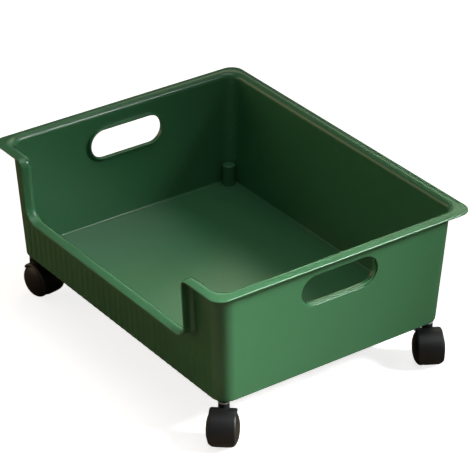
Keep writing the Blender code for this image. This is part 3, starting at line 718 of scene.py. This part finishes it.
def build_casters(materials):
    """Housing, collar ring and two wheels in each corner. The materials are given by piece."""
    meshes = {
        "housing": housing_mesh(),
        "collar_ring": collar_ring_mesh(),
        "wheel": wheel_mesh(),
    }
    for piece, mesh in meshes.items():
        dress(mesh, materials[piece])
        smooth(mesh, CASTER_SHARP_ANGLE)
    for name, (x, y) in corner_places().items():
        place = Matrix.Translation((x, y, 0)) @ Matrix.Rotation(CASTER_HEADINGS[name], 4, "Z")
        hub = place @ Matrix.Translation((CASTER_TRAIL, 0, WHEEL_RADIUS))
        pieces = (
            ("housing", "", place),
            ("collar_ring", "", place),
            ("wheel", "_a", hub @ Matrix.Rotation(math.pi / 2, 4, "X")),
            ("wheel", "_b", hub @ Matrix.Rotation(-math.pi / 2, 4, "X")),
        )
        for piece, tag, matrix in pieces:
            mesh = meshes[piece].copy()
            mesh.transform(matrix)
            item = new_object("look_" + piece + tag + "_" + name, mesh)
            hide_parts("caster_" + piece + tag + "_" + name)
            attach(item, ("wheel" + tag if tag else "caster") + "_" + name)


# Materials: linear colours, and the noise that makes colour, gloss and surface a little uneven
GREEN = (0.055, 0.19, 0.084)
HOOD_BLACK = (0.010, 0.010, 0.011)
WHEEL_BLACK = (0.012, 0.010, 0.008)
SLEEVE_BLACK = (0.02, 0.02, 0.02)
BRIGHT_ZINC = (0.9, 0.92, 0.92)
DARK_STEEL = (0.07, 0.07, 0.075)
SPRING_STEEL = (0.45, 0.45, 0.46)
TINT_SCALE = 14
TINT_DETAIL = 3
PLASTIC_GLOSS_SPREAD = 0.04
METAL_GLOSS_SCALE = 300
METAL_GLOSS_SPREAD = 0.06
GRAIN_DISTANCE = 0.1 * MM
BIN_GRAIN_SCALE = 900
CASTER_GRAIN_SCALE = 1400


def uneven_roughness(nodes, links, noise, roughness, spread):
    """Lets a noise move the roughness by up to the spread, either way."""
    gloss = nodes.new("ShaderNodeMapRange")
    gloss.inputs["To Min"].default_value = roughness - spread
    gloss.inputs["To Max"].default_value = roughness + spread
    links.new(noise.outputs["Fac"], gloss.inputs["Value"])
    links.new(gloss.outputs["Result"], nodes["Principled BSDF"].inputs["Roughness"])


def plastic(name, colour, roughness, shade=0.1, grain=0, grain_scale=BIN_GRAIN_SCALE):
    """Moulded plastic: shade is how far the colour varies, grain how strong the fine bumps are."""
    material = bpy.data.materials.new(name)
    material.use_nodes = True
    nodes = material.node_tree.nodes
    links = material.node_tree.links
    shader = nodes["Principled BSDF"]
    place = nodes.new("ShaderNodeTexCoord")
    broad = nodes.new("ShaderNodeTexNoise")
    broad.inputs["Scale"].default_value = TINT_SCALE
    broad.inputs["Detail"].default_value = TINT_DETAIL
    links.new(place.outputs["Object"], broad.inputs["Vector"])
    tint = nodes.new("ShaderNodeMix")
    tint.data_type = "RGBA"
    tint.inputs["A"].default_value = (*[value * (1 - shade) for value in colour], 1)
    tint.inputs["B"].default_value = (*[value * (1 + shade) for value in colour], 1)
    links.new(broad.outputs["Fac"], tint.inputs["Factor"])
    links.new(tint.outputs["Result"], shader.inputs["Base Color"])
    uneven_roughness(nodes, links, broad, roughness, PLASTIC_GLOSS_SPREAD)
    if grain:
        fine = nodes.new("ShaderNodeTexNoise")
        fine.inputs["Scale"].default_value = grain_scale
        links.new(place.outputs["Object"], fine.inputs["Vector"])
        bump = nodes.new("ShaderNodeBump")
        bump.inputs["Strength"].default_value = grain
        bump.inputs["Distance"].default_value = GRAIN_DISTANCE
        links.new(fine.outputs["Fac"], bump.inputs["Height"])
        links.new(bump.outputs["Normal"], shader.inputs["Normal"])
    return material


def metal(name, colour, roughness, metallic=1):
    """Metal with a slightly uneven gloss."""
    material = bpy.data.materials.new(name)
    material.use_nodes = True
    nodes = material.node_tree.nodes
    links = material.node_tree.links
    shader = nodes["Principled BSDF"]
    shader.inputs["Base Color"].default_value = (*colour, 1)
    shader.inputs["Metallic"].default_value = metallic
    place = nodes.new("ShaderNodeTexCoord")
    noise = nodes.new("ShaderNodeTexNoise")
    noise.inputs["Scale"].default_value = METAL_GLOSS_SCALE
    links.new(place.outputs["Object"], noise.inputs["Vector"])
    uneven_roughness(nodes, links, noise, roughness, METAL_GLOSS_SPREAD)
    return material


def dress_nodes(finishes):
    """Gives the CAD nodes that stay in view their materials."""
    for start, material in finishes.items():
        for name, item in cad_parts.items():
            if name.startswith(start):
                dress(item.data, material)


# Camera, as fitted to the photo. FOCAL is in pixels of a picture IMAGE pixels wide, the sensor
# in millimetres. CAMERA_X and CAMERA_Y shift the object to the right and up in the picture.
FOCAL = 2505.9
IMAGE = 470
SENSOR_WIDTH = 36
CLIP_END = 50
CAMERA_PITCH = math.radians(29.5928)
CAMERA_YAW = math.radians(54.4303)
CAMERA_X = -0.00866
CAMERA_Y = 0.00454
CAMERA_DISTANCE = 2.53062
LOOK_HEIGHT = 0.1073

# Floor: white to the camera and whiter far out, darker and warm in the light it throws back
FLOOR_HALF = 6
FLOOR_ROUGHNESS = 0.8
FLOOR_SPECULAR = 0.2
FLOOR_TONE = 0.9
FLOOR_BOUNCE = (0.24, 0.18, 0.12)
FLOOR_LIFT_NEAR = 0.8
FLOOR_LIFT_FAR = 1
FLOOR_FADE_START = 0.5
FLOOR_FADE_END = 1.6

# Light: the world is white to the camera and lights with this strength
WORLD_LIGHT = 0.08
WHITE = (1, 1, 1)
AIM = (0, 0, 0.1)

# Lamps: place, aim, length and width, watts, colour, spread in degrees
LAMPS = {
    "key": ((1.1, 0.76, 1.03), (0.2, -0.26, 0.06), (0.5, 0.5), 1.95, (0.97, 1, 0.99), 26),
    "top": ((0.2, 0.2, 2.1), AIM, (1.4, 1.4), 9, WHITE, 180),
    "back": ((-1.05, 1.2, 1.3), AIM, (1.1, 0.9), 3.8, (1, 0.88, 0.66), 180),
    "fill": ((-1.5, -1.3, 0.65), AIM, (2.6, 1), 10.4, (1, 0.72, 0.44), 180),
}


def build_camera():
    right = Vector((math.cos(CAMERA_YAW), math.sin(CAMERA_YAW), 0))
    back = Vector((math.sin(CAMERA_YAW) * math.cos(CAMERA_PITCH),
                   -math.cos(CAMERA_YAW) * math.cos(CAMERA_PITCH), math.sin(CAMERA_PITCH)))
    up = back.cross(right)
    place = -CAMERA_X * right - CAMERA_Y * up + CAMERA_DISTANCE * back + Vector((0, 0, LOOK_HEIGHT))
    turn = Matrix((right, up, back)).transposed().to_4x4()
    data = bpy.data.cameras.new("camera")
    data.sensor_width = SENSOR_WIDTH
    data.lens = FOCAL / IMAGE * SENSOR_WIDTH
    data.clip_end = CLIP_END
    camera = new_object("camera", data)
    camera.matrix_world = Matrix.Translation(place) @ turn
    bpy.context.scene.camera = camera


def area_light(name, place, aim, size, watts, colour, spread):
    data = bpy.data.lights.new(name, "AREA")
    data.shape = "RECTANGLE"
    data.size, data.size_y = size
    data.energy = watts
    data.color = colour
    data.spread = math.radians(spread)
    lamp = new_object(name, data)
    lamp.location = place
    lamp.rotation_euler = (Vector(aim) - Vector(place)).to_track_quat("-Z", "Y").to_euler()


def floor_material():
    material = bpy.data.materials.new("pale_floor")
    material.use_nodes = True
    nodes = material.node_tree.nodes
    links = material.node_tree.links
    seen = nodes.new("ShaderNodeLightPath").outputs["Is Camera Ray"]
    shader = nodes["Principled BSDF"]
    shader.inputs["Roughness"].default_value = FLOOR_ROUGHNESS
    shader.inputs["Specular IOR Level"].default_value = FLOOR_SPECULAR
    shader.inputs["Emission Color"].default_value = (*WHITE, 1)
    tone = nodes.new("ShaderNodeMix")
    tone.data_type = "RGBA"
    tone.inputs["A"].default_value = (*FLOOR_BOUNCE, 1)
    tone.inputs["B"].default_value = (*[FLOOR_TONE] * 3, 1)
    links.new(seen, tone.inputs["Factor"])
    links.new(tone.outputs["Result"], shader.inputs["Base Color"])
    place = nodes.new("ShaderNodeTexCoord")
    away = nodes.new("ShaderNodeVectorMath")
    away.operation = "LENGTH"
    links.new(place.outputs["Object"], away.inputs[0])
    fade = nodes.new("ShaderNodeMapRange")
    fade.inputs["From Min"].default_value = FLOOR_FADE_START
    fade.inputs["From Max"].default_value = FLOOR_FADE_END
    fade.inputs["To Min"].default_value = FLOOR_LIFT_NEAR
    fade.inputs["To Max"].default_value = FLOOR_LIFT_FAR
    links.new(away.outputs["Value"], fade.inputs["Value"])
    lift = nodes.new("ShaderNodeMath")
    lift.operation = "MULTIPLY"
    links.new(seen, lift.inputs[0])
    links.new(fade.outputs["Result"], lift.inputs[1])
    links.new(lift.outputs[0], shader.inputs["Emission Strength"])
    return material


def build_floor():
    bm = bmesh.new()
    half = FLOOR_HALF
    corners = ((-half, -half), (half, -half), (half, half), (-half, half))
    bm.faces.new([bm.verts.new((x, y, 0)) for x, y in corners])
    floor = new_object("floor", finish_mesh(bm, "floor"))
    dress(floor.data, floor_material())


def build_world():
    world = bpy.data.worlds.new("studio")
    world.use_nodes = True
    nodes = world.node_tree.nodes
    links = world.node_tree.links
    background = nodes["Background"]
    background.inputs["Color"].default_value = (*WHITE, 1)
    strength = nodes.new("ShaderNodeMapRange")
    strength.inputs["To Min"].default_value = WORLD_LIGHT
    strength.inputs["To Max"].default_value = 1
    seen = nodes.new("ShaderNodeLightPath").outputs["Is Camera Ray"]
    links.new(seen, strength.inputs["Value"])
    links.new(strength.outputs["Result"], background.inputs["Strength"])
    bpy.context.scene.world = world


green = plastic("green_moulding", GREEN, roughness=0.25, shade=0.06, grain=0.12)
nylon = plastic("black_hood", HOOD_BLACK, roughness=0.42, grain=0.2,
                grain_scale=CASTER_GRAIN_SCALE)
wheel_nylon = plastic("black_wheel", WHEEL_BLACK, roughness=0.45, grain=0.2,
                      grain_scale=CASTER_GRAIN_SCALE)
sleeve = plastic("black_sleeve", SLEEVE_BLACK, roughness=0.5)
zinc = metal("bright_zinc", BRIGHT_ZINC, roughness=0.4, metallic=0.5)
dark_steel = metal("dark_steel", DARK_STEEL, roughness=0.4)
spring_steel = metal("spring_steel", SPRING_STEEL, roughness=0.35)

build_bin(green)
build_casters({"housing": nylon, "collar_ring": zinc, "wheel": wheel_nylon})
dress_nodes({
    "socket_sleeve": sleeve,
    "grip_ring": spring_steel,
    "caster_stem": dark_steel,
    "caster_axle": zinc,
})
build_camera()
build_floor()
for name, lamp in LAMPS.items():
    area_light(name, *lamp)
build_world()
bpy.context.scene.view_settings.view_transform = "Standard"
